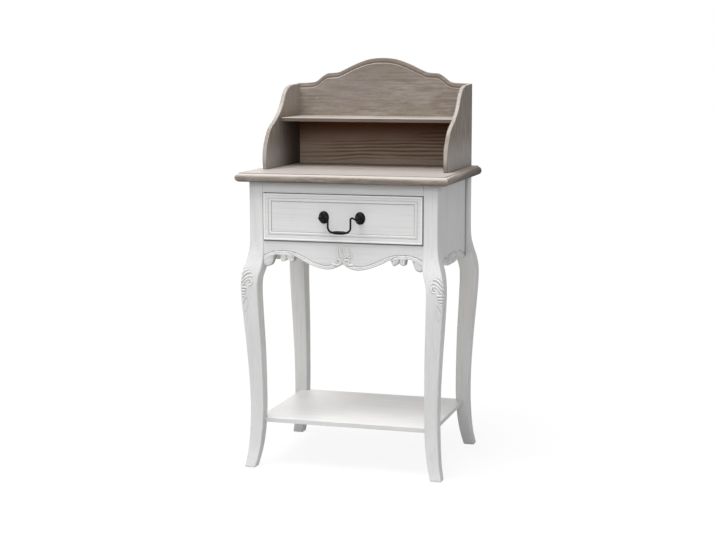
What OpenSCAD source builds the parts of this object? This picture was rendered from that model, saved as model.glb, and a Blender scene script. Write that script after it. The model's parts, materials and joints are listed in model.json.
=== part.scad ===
// Bedside table in the French country manner: a case with one drawer on four cabriole
// legs, a low shelf between the ankles, and a shaped gallery with a small shelf on top.
// Millimetres. Z is up, the drawer faces -Y, and the origin is on the floor under the
// middle of the whole table.

/* [Case] */
// Width over the corner posts
case_w = 400; // [320:5:520]
// Depth over the corner posts
case_d = 312; // [260:2:400]
// Height of the table top above the floor
table_h = 622; // [500:2:760]
// Height of the drawer opening
opening_h = 98.5; // [80:0.5:130]
// Height of the rail above the drawer
top_rail_h = 22; // [16:1:40]
// Side of the square corner post
post_w = 30; // [26:1:36]
// Thickness of the front apron and the rail above the drawer
rail_t = 18; // [14:1:22]
// Thickness of the side panels
panel_t = 14; // [10:1:18]
// How far the side panels lie behind the faces of the posts
panel_inset = 6; // [2:0.5:8]
// Thickness of the back panel
back_t = 12; // [10:0.5:16]
// How far the back panel lies in from the faces of the rear posts
back_inset = 4; // [2:0.5:8]
// Depth of the front apron at its lowest point
apron_h = 56.5; // [46:0.5:70]
// Width of the raised band along the front apron's scalloped edge
band_w = 9.5; // [6:0.5:12]
// How far the apron's field lies behind its band
field_inset = 1.6; // [1:0.2:3]

/* [Legs] */
// How far a foot stands out past the post
foot_out = 13; // [6:0.5:18]
// Side of the foot at the floor
foot_w = 23.5; // [18:0.5:32]
// Side of the ankle
ankle_w = 28.4; // [20:0.2:32]
// How far the knee swells out past the post
knee_out = 15.2; // [8:0.2:20]
// Side of the knee
knee_w = 36; // [28:0.5:42]
// Radius of a leg's arrises
arris_r = 2.2; // [1.5:0.1:3]

/* [Top and shelf] */
// Thickness of the top board
top_t = 19; // [15:1:25]
// Overhang of the top at each side
top_over_side = 24.5; // [15:0.5:35]
// Overhang of the top at the front
top_over_front = 20; // [19.5:0.5:35]
// Height of the step over the top's rounded edge
top_step = 1.6; // [0.8:0.1:3]
// Distance from the top's edge in to that step
top_step_in = 7; // [4:0.5:12]
// Plan radius of the top's back corners
top_back_r = 12; // [2:1:20]
// Height of the low shelf's upper face above the floor
shelf_z = 103; // [80:1:160]
// Thickness of the low shelf
shelf_t = 9; // [8:0.5:16]
// How far the low shelf's side edges lie in from the faces of the posts
shelf_inset = 11; // [8:1:16]

/* [Gallery] */
// Height of the gallery's peak above the table top
gallery_h = 232; // [200:2:280]
// Height of the cheeks above the table top
cheek_h = 177; // [150:1:200]
// Depth of the cheeks at their feet
cheek_d = 228; // [180:2:250]
// Thickness of the cheeks
cheek_t = 9; // [8:0.5:15]
// Thickness of the gallery's back board
back_board_t = 12; // [9:0.5:15]
// Width of the routed rim along the back board's crest
rim_w = 10.5; // [4:0.5:14]
// Depth of that rim
rim_step = 1.5; // [0.6:0.1:3]
// Height of the gallery shelf's upper face above the table top
cubby_h = 105.5; // [85:0.5:125]
// Depth of the gallery shelf, from the back board's face
cubby_shelf_d = 123; // [100:1:140]
// Thickness of the gallery shelf
cubby_shelf_t = 8.5; // [7:0.5:12]

/* [Drawer] */
// Gap round the drawer front
drawer_gap = 1; // [0.6:0.1:2]
// Thickness of the drawer front
drawer_front_t = 18; // [15:1:22]
// How far the drawer front stands proud of the case
drawer_proud = 2.8; // [0:0.2:4]
// Thickness of the drawer's sides and back
drawer_side_t = 11; // [8:0.5:14]
// Free height over the drawer's sides
drawer_head_room = 6.2; // [2:0.2:20]
// Thickness of the drawer's bottom
drawer_bottom_t = 4; // [3:0.5:6]
// Free space behind the closed drawer
drawer_back_room = 14; // [8:1:30]
// Width of the moulded frame round the sunk field of the drawer front
frame_w = 17.2; // [16:0.2:20]
// Depth of the sunk field
field_depth = 3.2; // [2.6:0.2:5]
// Width of the bead round the drawer front's edge
bead_w = 3.2; // [2:0.2:4]
// How far that bead stands proud of the flat inside it
bead_out = 1.4; // [0.6:0.1:2]

/* [Pull] */
// Distance between the two posts of the pull
pull_centres = 77; // [64:1:96]
// Height of the posts above the middle of the drawer front
pull_rise = 1.5; // [0:0.5:4]
// Distance of the pull's pivots in front of the case
pull_out = 19.5; // [19:0.5:24]
// Height of an oval rosette
rosette_tall = 26; // [20:0.5:32]
// Width of an oval rosette
rosette_wide = 22; // [18:0.5:30]
// Height of a rosette's dome
rosette_h = 5.5; // [3:0.25:6]
// Drop of the grip below the pivots
bail_drop = 28.5; // [26:0.5:34]

/* [Hidden] */

white_paint = "#eeedea";
grey_wood = "#9d9186";
bare_wood = "#d3b98f";
black_iron = "#26262a";
steel = "#b9bcc0";

// Each row: share of the height under the drawer, distance outward and inward of the
// post's corner, and radius of the arris. The leg is square in section, so both views agree.
leg_rows = [
    [0, foot_out, foot_w - foot_out, arris_r * 0.9],
    [0.06, foot_out * 0.58, ankle_w * 0.88 - foot_out * 0.58, arris_r],
    [0.14, foot_out * 0.31, ankle_w * 0.96 - foot_out * 0.31, arris_r],
    [0.25, knee_out * 0.14, ankle_w - knee_out * 0.14, arris_r],
    [0.38, knee_out * 0.22, ankle_w * 1.04 - knee_out * 0.22, arris_r],
    [0.52, knee_out * 0.46, knee_w * 0.89 - knee_out * 0.46, arris_r],
    [0.66, knee_out * 0.79, knee_w * 0.955 - knee_out * 0.79, arris_r * 1.2],
    [0.77, knee_out, knee_w - knee_out, arris_r * 1.4],
    [0.83, knee_out * 0.98, knee_w * 1.02 - knee_out * 0.98, arris_r * 1.4],
    [0.88, knee_out * 0.72, post_w * 0.93, arris_r * 1.3],
    [0.93, knee_out * 0.28, post_w, arris_r * 1.1],
    [1, 0, post_w, arris_r * 0.9]];

// Faces and heights that several pieces share
leg_reach = max([for (row = curve(leg_rows, 3)) row[1]]);
post_head_r = 5.4;                             // ball head of a pull post
front_reach = max(top_over_front, pull_out + post_head_r);
case_y = (front_reach - leg_reach) / 2;        // puts the origin under the middle
front_y = case_y - case_d / 2;
back_y = case_y + case_d / 2;
side_x = case_w / 2;
face_y = front_y - drawer_proud;               // face of the drawer front's bead
under_top = table_h - top_t;
opening_top = under_top - top_rail_h;
opening_bottom = opening_top - opening_h;
inner_x = side_x - post_w;                     // inner face of a post
panel_x = side_x - panel_inset;                // outer face of a side panel
panel_inner_x = panel_x - panel_t;
rail_back_y = front_y + rail_t;
back_inner_y = back_y - back_inset - back_t;

// Joints
tenon_l = 12;          // length of every tenon
tenon_t = 7;           // its thickness
tenon_shoulder = 3;    // step above and below it
housing = 4;           // depth of the grooves in the gallery's cheeks
screw_r = 2;
screw_head_r = 4;
dowel_r = 2.5;
dowel_l = 26;

// A smooth curve through a few points, in steps parts from each point to the next
function pass(a, b, c, d, t) =
    (2 * b + (c - a) * t + (2 * a - 5 * b + 4 * c - d) * t * t
     + (3 * b - a - 3 * c + d) * t * t * t) / 2;
function curve(pts, steps) =
    let (last = len(pts) - 1)
    concat([for (i = [0 : last - 1], k = [0 : steps - 1])
                pass(pts[max(i - 1, 0)], pts[i], pts[i + 1], pts[min(i + 2, last)], k / steps)],
           [pts[last]]);
// An edge given from its middle to its right end, made whole from left to right
function mirrored(pts) =
    concat([for (i = [len(pts) - 1 : -1 : 1]) [-pts[i][0], pts[i][1]]], pts);
// A plate drawn in X and Z, from y to y + thick
module plate_xz(y, thick) {
    translate([0, y + thick, 0]) rotate([90, 0, 0]) linear_extrude(thick) children();
}
// A plate drawn in Y and Z, from x to x + thick
module plate_yz(x, thick) {
    translate([x, 0, 0]) rotate([90, 0, 90]) linear_extrude(thick) children();
}
module block(low, high) {
    translate(low) cube(high - low);
}
// A bar given for the right side, or the same bar on the left
module on_side(side) {
    if (side > 0) children();
    else mirror([1, 0, 0]) children();
}

// ---------------------------------------------------------------- legs

leg_stations = [for (row = curve(leg_rows, 3))
                    [row[0] * opening_bottom, row[1], min(row[2], post_w), row[3]]];
leg_inward = [for (row = leg_stations) [row[0], row[2]]];

// Rounded square from -out to in, with four points on each arris
function leg_ring(out, inward, r, z) =
    [for (corner = [0 : 3], k = [0 : 3])
        let (a = 90 * corner + 30 * k,
             cx = (corner == 0 || corner == 3) ? inward - r : r - out,
             cy = corner < 2 ? inward - r : r - out)
        [cx + r * cos(a), cy + r * sin(a), z]];

module loft(rings) {
    count = len(rings[0]);
    top = len(rings) - 1;
    sides = [for (i = [0 : top - 1], j = [0 : count - 1])
        let (k = (j + 1) % count)
        each [[i * count + j, (i + 1) * count + j, (i + 1) * count + k],
              [i * count + j, (i + 1) * count + k, i * count + k]]];
    polyhedron([for (ring = rings) each ring],
               concat([[for (j = [0 : count - 1]) j]],
                      [[for (j = [count - 1 : -1 : 0]) top * count + j]], sides));
}

// The leg in the corner frame: the post's outer corner on the origin, inward is +X and +Y
module leg_blank() {
    rings = concat([for (row = leg_stations) leg_ring(row[1], row[2], row[3], row[0])],
                   [leg_ring(0, post_w, leg_rows[11][3], under_top)]);
    loft(rings);
}

// The four legs differ only in which way they are turned and in their mortises
module leg(side, end) {
    color(white_paint)
    difference() {
        translate([side * side_x, end < 0 ? front_y : back_y, 0])
            mirror([side > 0 ? 1 : 0, 0, 0]) mirror([0, end > 0 ? 1 : 0, 0]) leg_blank();
        if (end < 0) {
            front_apron_tenons();
            top_rail_tenons();
        } else {
            back_tenons();
        }
        side_tenons(side);
        shelf_dowel_pins();
    }
}

// ---------------------------------------------------------------- case

front_tenon_y = front_y + 5;
side_tenon_x = panel_x - 4 - tenon_t;
back_tenon_y = back_y - back_inset - 3 - tenon_t;
side_tenon_low = opening_bottom - 28;
side_y0 = front_y + post_w;
side_y1 = back_y - post_w;

module cross_tenons(y, low, high) {
    for (side = [-1, 1])
        on_side(side)
            block([inner_x - 1, y, low + tenon_shoulder],
                  [inner_x + tenon_l, y + tenon_t, high - tenon_shoulder]);
}
module front_apron_tenons() {
    cross_tenons(front_tenon_y, opening_bottom - 34, opening_bottom);
}
module top_rail_tenons() {
    cross_tenons(front_tenon_y, opening_top, under_top);
}
module back_tenons() {
    cross_tenons(back_tenon_y, opening_bottom - 34, under_top);
}
module side_tenons(side) {
    on_side(side)
        block([side_tenon_x, side_y0 - tenon_l, side_tenon_low],
              [side_tenon_x + tenon_t, side_y1 + tenon_l, under_top - tenon_shoulder]);
}

module front_top_rail() {
    color(white_paint) {
        block([-inner_x, front_y, opening_top], [inner_x, rail_back_y, under_top]);
        top_rail_tenons();
    }
}

// Half of the sweep that the apron's band follows, from the middle outward: share of the
// half width, and share of the apron's depth at which it lies above the lowest point
apron_sweep = [[0, 0.21], [0.06, 0.1], [0.12, 0.02], [0.18, 0], [0.24, 0.015], [0.31, 0.055],
               [0.4, 0.155], [0.49, 0.27], [0.56, 0.385], [0.62, 0.45], [0.7, 0.475],
               [0.83, 0.475], [0.9, 0.43], [0.95, 0.38], [1, 0.3]];
apron_low = opening_bottom - apron_h;
function apron_point(share) = [share[0] * inner_x, apron_low + share[1] * apron_h];
// Carved leaves that hang below the sweep, each from its root round its tip and back up
apron_leaves = [
    [[0.56, 0.5], [0.585, 0.37], [0.615, 0.28], [0.65, 0.19], [0.69, 0.25], [0.71, 0.36], [0.72, 0.5]],
    [[0.68, 0.5], [0.705, 0.335], [0.735, 0.25], [0.77, 0.22], [0.795, 0.32], [0.825, 0.5]],
    [[0.8, 0.5], [0.86, 0.39], [0.885, 0.26], [0.905, 0.15], [0.935, 0.07], [1, 0.05], [1, 0.5]]];
scroll_r = 5.6;           // of the two small scrolls at the middle
scroll_x = 7.4;

// What lies above the sweep, lifted by some height
module above_sweep(lift) {
    edge = [for (p = curve(apron_sweep, 4)) apron_point(p) + [0, lift]];
    polygon(concat(mirrored(edge), [[inner_x, opening_bottom], [-inner_x, opening_bottom]]));
}
module apron_outline() {
    above_sweep(0);
    intersection() {
        for (leaf = apron_leaves, side = [-1, 1])
            polygon([for (p = curve(leaf, 3)) apron_point([side * p[0], p[1]])]);
        translate([-inner_x, apron_low]) square([2 * inner_x, apron_h]);
    }
}

module front_apron() {
    color(white_paint) {
        plate_xz(front_y + field_inset, rail_t - field_inset) apron_outline();
        plate_xz(front_y, field_inset + 1) {
            difference() {
                apron_outline();
                above_sweep(band_w);
            }
            for (side = [-1, 1])
                translate([side * scroll_x, apron_low + apron_h * 0.32]) circle(scroll_r, $fn = 32);
        }
        front_apron_tenons();
    }
}

// The side panel's lower edge, from its middle to the post, as shares of its half length
// and distances above the apron's lowest point
side_edge = [[0, 3], [0.1, 0.6], [0.24, 0], [0.34, 2], [0.42, 6.5], [0.5, 8.5], [0.62, 8.5],
             [0.74, 5.5], [0.86, 0.5], [1, -1]];

module side_outline() {
    half = (side_y1 - side_y0) / 2;
    middle = (side_y0 + side_y1) / 2;
    edge = [for (p = curve(side_edge, 4)) [p[0] * half, apron_low + p[1]]];
    translate([middle, 0])
        polygon(concat(mirrored(edge), [[half, under_top], [-half, under_top]]));
}

module side_panel(side) {
    color(white_paint) {
        on_side(side) plate_yz(panel_inner_x, panel_t) side_outline();
        side_tenons(side);
    }
}

// The back is plain, with a rounded ear at each leg
back_low = opening_bottom - 42;
ear_r = 16;
module back_outline() {
    difference() {
        translate([-inner_x, back_low - ear_r]) square([2 * inner_x, under_top - back_low + ear_r]);
        translate([-inner_x + ear_r, back_low - ear_r - 1])
            square([2 * (inner_x - ear_r), ear_r + 1]);
        for (side = [-1, 1])
            translate([side * (inner_x - ear_r), back_low - ear_r]) circle(ear_r, $fn = 48);
    }
}
module back_panel() {
    color(white_paint) {
        plate_xz(back_inner_y, back_t) back_outline();
        back_tenons();
    }
}

// ---------------------------------------------------------------- inside the case

run_gap = 0.3;                       // under the drawer, and in front of its stops
side_gap = 0.4;                      // between a drawer side and its guide
drawer_x = inner_x - drawer_gap;     // outer face of a drawer side
bearer_t = 17;
bearer_d = 40;
runner_w = 24;                       // ledge under a drawer side
guide_h = opening_h * 0.75;          // guide beside it
stop_size = [22, 12, 6];

module front_bearer_rail() {
    color(bare_wood)
        block([-panel_inner_x + runner_w, rail_back_y, opening_bottom - bearer_t],
              [panel_inner_x - runner_w, rail_back_y + bearer_d, opening_bottom]);
}

// An L-shaped strip on the inner face of the side panel, between the posts
module drawer_runner(side) {
    color(bare_wood)
        on_side(side)
            translate([0, side_y1, 0]) rotate([90, 0, 0]) linear_extrude(side_y1 - side_y0)
                polygon([[panel_inner_x, opening_bottom - bearer_t],
                         [panel_inner_x, opening_bottom + guide_h],
                         [drawer_x + side_gap, opening_bottom + guide_h],
                         [drawer_x + side_gap, opening_bottom],
                         [panel_inner_x - runner_w, opening_bottom],
                         [panel_inner_x - runner_w, opening_bottom - bearer_t]]);
}

// Keeps the drawer from tipping as it is pulled out, and carries the top's screws
module kicker(side) {
    color(bare_wood)
        on_side(side)
            block([panel_inner_x - runner_w, side_y0, opening_top + 1], [panel_inner_x, side_y1, under_top]);
}

module drawer_stops() {
    color(bare_wood)
        for (side = [-1, 1])
            translate([side * inner_x / 2 - stop_size[0] / 2,
                       face_y + drawer_front_t + run_gap, opening_bottom])
                cube(stop_size);
}

block_leg = 34;          // a corner block's two short sides
block_h = 18;
block_x = panel_inner_x - runner_w;
block_front_y = rail_back_y;

module at_blocks() {
    for (side = [-1, 1], end = [0, 1])
        translate([side * block_x, end == 0 ? block_front_y : back_inner_y, under_top - block_h])
            mirror([side > 0 ? 1 : 0, 0, 0]) mirror([0, end, 0]) children();
}
module corner_blocks() {
    color(bare_wood)
        difference() {
            at_blocks()
                linear_extrude(block_h) polygon([[0, 0], [block_leg, 0], [0, block_leg]]);
            top_screws_solid(0.2);
        }
}

// A wood screw standing head down, its head's face at z = 0
module screw(length, slack = 0) {
    head_h = 2.4;
    cylinder(h = head_h, r1 = screw_head_r + slack, r2 = screw_r + slack, $fn = 32);
    cylinder(h = length, r = screw_r + slack, $fn = 32);
}
top_screw_l = block_h + 11;
module top_screws_solid(slack = 0) {
    at_blocks() translate([block_leg * 0.3, block_leg * 0.3, 0]) screw(top_screw_l, slack);
}
module top_screws() {
    color(steel) top_screws_solid();
}

// ---------------------------------------------------------------- top and low shelf

// A board with a half-round edge under a small step at the front and both sides, mitred
// where they meet, and a square back edge with rounded corners
module nosed_board(w, d, t, back_r) {
    r = (t - top_step) / 2;
    intersection() {
        union() {
            intersection() {
                union() {
                    block([-w / 2, r, 0], [w / 2, d, 2 * r]);
                    translate([-w / 2, r, r]) rotate([0, 90, 0]) cylinder(h = w, r = r, $fn = 48);
                }
                union() {
                    block([r - w / 2, 0, 0], [w / 2 - r, d, 2 * r]);
                    for (side = [-1, 1])
                        translate([side * (w / 2 - r), 0, r])
                            rotate([-90, 0, 0]) cylinder(h = d, r = r, $fn = 48);
                }
            }
            block([top_step_in - w / 2, top_step_in, r], [w / 2 - top_step_in, d, t]);
        }
        linear_extrude(t) {
            translate([-w / 2, 0]) square([w, d - back_r]);
            translate([back_r - w / 2, 0]) square([w - 2 * back_r, d]);
            for (side = [-1, 1])
                translate([side * (w / 2 - back_r), d - back_r]) circle(back_r, $fn = 48);
        }
    }
}

module top_board() {
    color(grey_wood)
        difference() {
            translate([0, front_y - top_over_front, under_top])
                nosed_board(case_w + 2 * top_over_side, case_d + top_over_front, top_t, top_back_r);
            top_screws_solid();
            gallery_screws_solid();
        }
}

// The shelf's corners are notched round the inner corners of the legs
shelf_x = side_x - shelf_inset;
shelf_y = case_d / 2 - shelf_inset - 3;
notch_play = 0.1;                                // between a notch and its leg
notch_leg = lookup(shelf_z, leg_inward) + notch_play;
notch_x = side_x - notch_leg;
notch_y = case_d / 2 - notch_leg;

module shelf_dowel_pins(slack = 0) {
    for (side = [-1, 1], end = [-1, 1])
        translate([side * notch_x, case_y + end * (notch_y + shelf_y) / 2, shelf_z - shelf_t / 2])
            rotate([0, 90, 0]) cylinder(h = dowel_l, r = dowel_r + slack, center = true, $fn = 32);
}
module shelf_dowels() {
    color(bare_wood) shelf_dowel_pins();
}
module lower_shelf() {
    color(white_paint)
        difference() {
            translate([0, case_y, shelf_z - shelf_t]) linear_extrude(shelf_t)
                difference() {
                    square([2 * shelf_x, 2 * shelf_y], center = true);
                    for (side = [-1, 1], end = [-1, 1])
                        translate([side * (notch_x + shelf_inset * 2), end * (notch_y + shelf_inset * 2)])
                            square(4 * shelf_inset, center = true);
                }
            shelf_dowel_pins();
        }
}

// ---------------------------------------------------------------- gallery

// Front edge of a cheek from its foot to its back: share of the depth, measured from the
// back, and share of the height
cheek_edge = [[1, 0], [1.017, 0.12], [0.997, 0.265], [0.93, 0.4], [0.85, 0.495], [0.735, 0.565],
              [0.6, 0.67], [0.52, 0.77], [0.46, 0.87], [0.38, 0.945], [0.27, 0.98], [0.13, 0.99],
              [0, 1]];
// Upper edge of the back board from its middle to its end: share of the half width, and
// share of the rise from the cheeks to the peak
crest_edge = [[0, 1], [0.07, 0.99], [0.16, 0.94], [0.25, 0.835], [0.34, 0.7], [0.43, 0.545],
              [0.5, 0.44], [0.57, 0.41], [0.63, 0.385], [0.69, 0.26], [0.75, 0.09], [0.81, 0.03],
              [0.9, 0.01], [1, 0]];
cheek_inner_x = side_x - cheek_t;
back_board_y = back_y - back_board_t;

module cheek(side) {
    color(grey_wood)
        difference() {
            on_side(side)
                plate_yz(cheek_inner_x, cheek_t)
                    translate([back_y, table_h])
                        polygon(concat([[0, 0]],
                                       [for (p = curve(cheek_edge, 4)) [-p[0] * cheek_d, p[1] * cheek_h]]));
            back_board_solid();
            cubby_shelf_solid();
            gallery_screws_solid();
        }
}

// What lies below the crest, lowered by some height
module below_crest(lower) {
    edge = [for (p = curve(crest_edge, 4))
               [p[0] * side_x, cheek_h + p[1] * (gallery_h - cheek_h) - lower]];
    translate([0, table_h]) polygon(concat(mirrored(edge), [[side_x, 0], [-side_x, 0]]));
}
// The face is routed back along the crest
module back_board_solid() {
    half = cheek_inner_x + housing;
    intersection() {
        union() {
            plate_xz(back_board_y + rim_step, back_board_t - rim_step) below_crest(0);
            plate_xz(back_board_y, rim_step + 1) below_crest(rim_w);
        }
        block([-half, back_board_y, table_h], [half, back_y, table_h + gallery_h + 1]);
    }
}
module gallery_back_board() {
    color(grey_wood)
        difference() {
            back_board_solid();
            gallery_screws_solid();
        }
}

module cubby_shelf_solid() {
    half = cheek_inner_x + housing;
    block([-half, back_board_y - cubby_shelf_d, table_h + cubby_h - cubby_shelf_t],
          [half, back_board_y, table_h + cubby_h]);
}
module gallery_shelf() {
    color(grey_wood) cubby_shelf_solid();
}

gallery_screw_l = top_t + 18;
module gallery_screws_solid() {
    cheek_x = side_x - cheek_t / 2;
    for (side = [-1, 1], share = [0.3, 0.8])
        translate([side * cheek_x, back_y - share * cheek_d, under_top]) screw(gallery_screw_l);
    for (side = [-1, 1])
        translate([side * inner_x * 0.6, back_y - back_board_t / 2, under_top])
            screw(gallery_screw_l);
}
module gallery_screws() {
    color(steel) gallery_screws_solid();
}

// ---------------------------------------------------------------- drawer

drawer_low = opening_bottom + run_gap;
front_low = opening_bottom + drawer_gap;
front_high = opening_top - drawer_gap;
drawer_front_back_y = face_y + drawer_front_t;
drawer_end_y = back_inner_y - drawer_back_room;
bottom_groove = 5;                       // depth of the groove that holds the bottom
bottom_z = drawer_low + 9;
lap = 6;                                 // of the sides into the drawer front
drawer_side_h = opening_h - run_gap - drawer_head_room;
pull_z = (front_low + front_high) / 2 + pull_rise;
pull_pivot_y = front_y - pull_out;
field_y = face_y + field_depth;          // face of the drawer front's sunk field
shank_r = 2.5;

// A block with sloping sides on the drawer front, from one depth behind its face to
// another, each with its distance in from the edge
module sloped_block(deep, deep_in, shallow, shallow_in) {
    intersection() {
        translate([0, 0, front_low]) linear_extrude(front_high - front_low)
            polygon([for (p = [[-1, deep, deep_in], [1, deep, deep_in],
                               [1, shallow, shallow_in], [-1, shallow, shallow_in]])
                        [p[0] * (drawer_x - p[2]), face_y + p[1]]]);
        plate_yz(-drawer_x, 2 * drawer_x)
            polygon([[face_y + deep, front_low + deep_in], [face_y + deep, front_high - deep_in],
                     [face_y + shallow, front_high - shallow_in],
                     [face_y + shallow, front_low + shallow_in]]);
    }
}

quirk_in = 10;           // from the edge to the groove between the flat and the inner bead
quirk_depth = 2.2;
inner_bead_w = 4.8;      // inner bead: its width from the groove to its crest,
inner_bead_depth = 1;    // and how far its crest lies behind the outer bead

// A bead round the edge, a flat, a groove, a second bead, and the sunk field
module drawer_front() {
    over = 1;            // how far a cut reaches past the face it cuts
    crest_in = quirk_in + inner_bead_w + 0.8;
    color(white_paint)
        difference() {
            union() {
                difference() {
                    block([-drawer_x, face_y, front_low], [drawer_x, drawer_front_back_y, front_high]);
                    sloped_block(bead_out, bead_w + bead_out, -over, bead_w - over);
                    sloped_block(quirk_depth, quirk_in + quirk_depth - bead_out, bead_out - over,
                                 quirk_in - over);
                }
                sloped_block(quirk_depth + over, quirk_in, inner_bead_depth, quirk_in + inner_bead_w);
            }
            sloped_block(field_depth, frame_w, inner_bead_depth - over,
                         crest_in - over * (frame_w - crest_in) / (field_depth - inner_bead_depth));
            pull_posts_bore();
            drawer_side_solid(-1);
            drawer_side_solid(1);
            drawer_bottom_solid();
        }
}

module drawer_side_solid(side) {
    on_side(side)
        block([drawer_x - drawer_side_t, drawer_front_back_y - lap, drawer_low],
              [drawer_x, drawer_end_y, drawer_low + drawer_side_h]);
}
module drawer_side(side) {
    color(bare_wood)
        difference() {
            drawer_side_solid(side);
            drawer_bottom_solid();
            drawer_back_solid();
        }
}
// The back is housed between the sides and stands on the bottom
module drawer_back_solid() {
    half = drawer_x - drawer_side_t + housing;
    block([-half, drawer_end_y - drawer_side_t - 6, bottom_z + drawer_bottom_t],
          [half, drawer_end_y - 6, drawer_low + drawer_side_h - 6]);
}
module drawer_back() {
    color(bare_wood) drawer_back_solid();
}
module drawer_bottom_solid() {
    half = drawer_x - drawer_side_t + bottom_groove;
    block([-half, drawer_front_back_y - bottom_groove, bottom_z],
          [half, drawer_end_y, bottom_z + drawer_bottom_t]);
}
module drawer_bottom() {
    color(bare_wood) drawer_bottom_solid();
}

// ---------------------------------------------------------------- pull

pivot_r = 1.5;
pivot_slack = 0.05;
post_neck_r = 3.6;
nut_r = 4.6;
nut_h = 3.2;
washer_r = 6;
washer_h = 1;
shank_end_y = drawer_front_back_y + washer_h + nut_h + 1.5;
arm_r = 2;
grip_r = 3.7;
rosette_rim = 0.9;       // least thickness at a rosette's edge

module along_y(y0, y1, r) {
    translate([0, y0, 0]) rotate([-90, 0, 0]) cylinder(h = y1 - y0, r = r, $fn = 48);
}
module at_post(side) {
    translate([side * pull_centres / 2, 0, pull_z]) children();
}
module pull_posts_bore() {
    for (side = [-1, 1]) at_post(side) along_y(face_y - 1, drawer_front_back_y + 1, shank_r + 0.1);
}

// An oval plate with a shallow spherical dome, bored for the post
module rosette(side) {
    rise = rosette_h - rosette_rim;
    ball = (pow(rosette_tall / 2, 2) + rise * rise) / (2 * rise);
    color(black_iron)
        at_post(side)
            difference() {
                intersection() {
                    translate([0, field_y - rosette_h + ball, 0]) sphere(ball, $fn = 96);
                    plate_xz(field_y - rosette_h - 1, rosette_h + 1)
                        polygon([for (a = [0 : 10 : 350])
                                    [rosette_wide / 2 * cos(a), rosette_tall / 2 * sin(a)]]);
                }
                along_y(field_y - rosette_h - 1, field_y + 1, shank_r + 0.1);
            }
}

// Shank, neck and ball head turned as one, with a cross bore for the bail
module pull_post(side) {
    neck_l = field_y - rosette_h - pull_pivot_y;
    color(black_iron)
        at_post(side)
            translate([0, pull_pivot_y, 0])
                difference() {
                    rotate([-90, 0, 0]) rotate_extrude($fn = 64)
                        intersection() {
                            union() {
                                circle(post_head_r, $fn = 48);
                                square([post_neck_r, neck_l]);
                                square([shank_r, shank_end_y - pull_pivot_y]);
                            }
                            translate([0, -post_head_r]) square([post_head_r, 100]);
                        }
                    rotate([0, 90, 0])
                        cylinder(h = 4 * post_head_r, r = pivot_r + pivot_slack, center = true, $fn = 32);
                }
}

module pull_nuts() {
    color(steel)
        for (side = [-1, 1])
            at_post(side) {
                difference() {
                    union() {
                        along_y(drawer_front_back_y, drawer_front_back_y + washer_h, washer_r);
                        translate([0, drawer_front_back_y + washer_h, 0]) rotate([-90, 0, 0])
                            cylinder(h = nut_h, r = nut_r, $fn = 6);
                    }
                    along_y(drawer_front_back_y - 1, shank_end_y + 1, shank_r);
                }
            }
}

// The bail hangs from the two heads. Each end is a pin, a small swan neck that rises and
// turns down, a straight arm, and a round corner into the thicker grip.
neck_in = 3.1;                 // radius of the bend that rises
neck_out = 3.8;                // radius of the bend that turns down
neck_turn = 45;
corner_r = 11;
bail_start = pull_centres / 2 - post_head_r - 0.4;
neck_x = bail_start - (neck_in + neck_out) * sin(neck_turn);
neck_z = neck_in * (1 - cos(neck_turn)) - neck_out * cos(neck_turn);
arm_x = neck_x - neck_out;
grip_half = arm_x - corner_r;
grip_taper = 5;

// Stations from the right end to the middle: place in X and Z, heading, and radius
half_bail = concat(
    [for (a = [0 : 15 : neck_turn])
        [bail_start - neck_in * sin(a), neck_in * (1 - cos(a)), 180 - a, arm_r]],
    [for (a = [neck_turn + 15 : 15 : 180])
        [neck_x + neck_out * cos(a), neck_z + neck_out * sin(a), a + 90, arm_r]],
    [for (a = [0 : 15 : 90])
        [grip_half + corner_r * cos(a), corner_r * (1 - sin(a)) - bail_drop, 270 - a, arm_r]],
    [[grip_half - grip_taper, -bail_drop, 180, grip_r]]);
bail_stations = concat(half_bail,
    [for (i = [len(half_bail) - 1 : -1 : 0])
        let (s = half_bail[i]) [-s[0], s[1], -s[2], s[3]]]);

module bail_handle() {
    color(black_iron)
        translate([0, pull_pivot_y, pull_z]) {
            loft([for (s = bail_stations)
                [for (k = [0 : 30 : 330])
                    [s[0] - s[3] * cos(k) * sin(s[2]), -s[3] * sin(k), s[1] + s[3] * cos(k) * cos(s[2])]]]);
            for (side = [-1, 1])
                translate([side * (bail_start + post_head_r), 0, 0]) rotate([0, 90, 0])
                    cylinder(h = 2 * post_head_r + 0.8, r = pivot_r, center = true, $fn = 32);
        }
}

// ---------------------------------------------------------------- the pieces, one at a time

leg(-1, -1);  // front_left_leg
leg(1, -1);  // front_right_leg
leg(-1, 1);  // rear_left_leg
leg(1, 1);  // rear_right_leg
front_top_rail();
front_apron();
side_panel(-1);  // left_side_panel
side_panel(1);  // right_side_panel
back_panel();
front_bearer_rail();
drawer_runner(-1);  // left_drawer_runner
drawer_runner(1);  // right_drawer_runner
kicker(-1);  // left_kicker
kicker(1);  // right_kicker
drawer_stops();
corner_blocks();
top_screws();
top_board();
lower_shelf();
shelf_dowels();
cheek(-1);  // gallery_left_cheek
cheek(1);  // gallery_right_cheek
gallery_back_board();
gallery_shelf();
gallery_screws();
drawer_front();
drawer_side(-1);  // drawer_left_side
drawer_side(1);  // drawer_right_side
drawer_back();
drawer_bottom();
rosette(-1);  // left_rosette
rosette(1);  // right_rosette
pull_post(-1);  // left_pull_post
pull_post(1);  // right_pull_post
pull_nuts();
bail_handle();
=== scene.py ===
import bpy
import bmesh
import json
import math
from mathutils import Matrix, Vector


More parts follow.
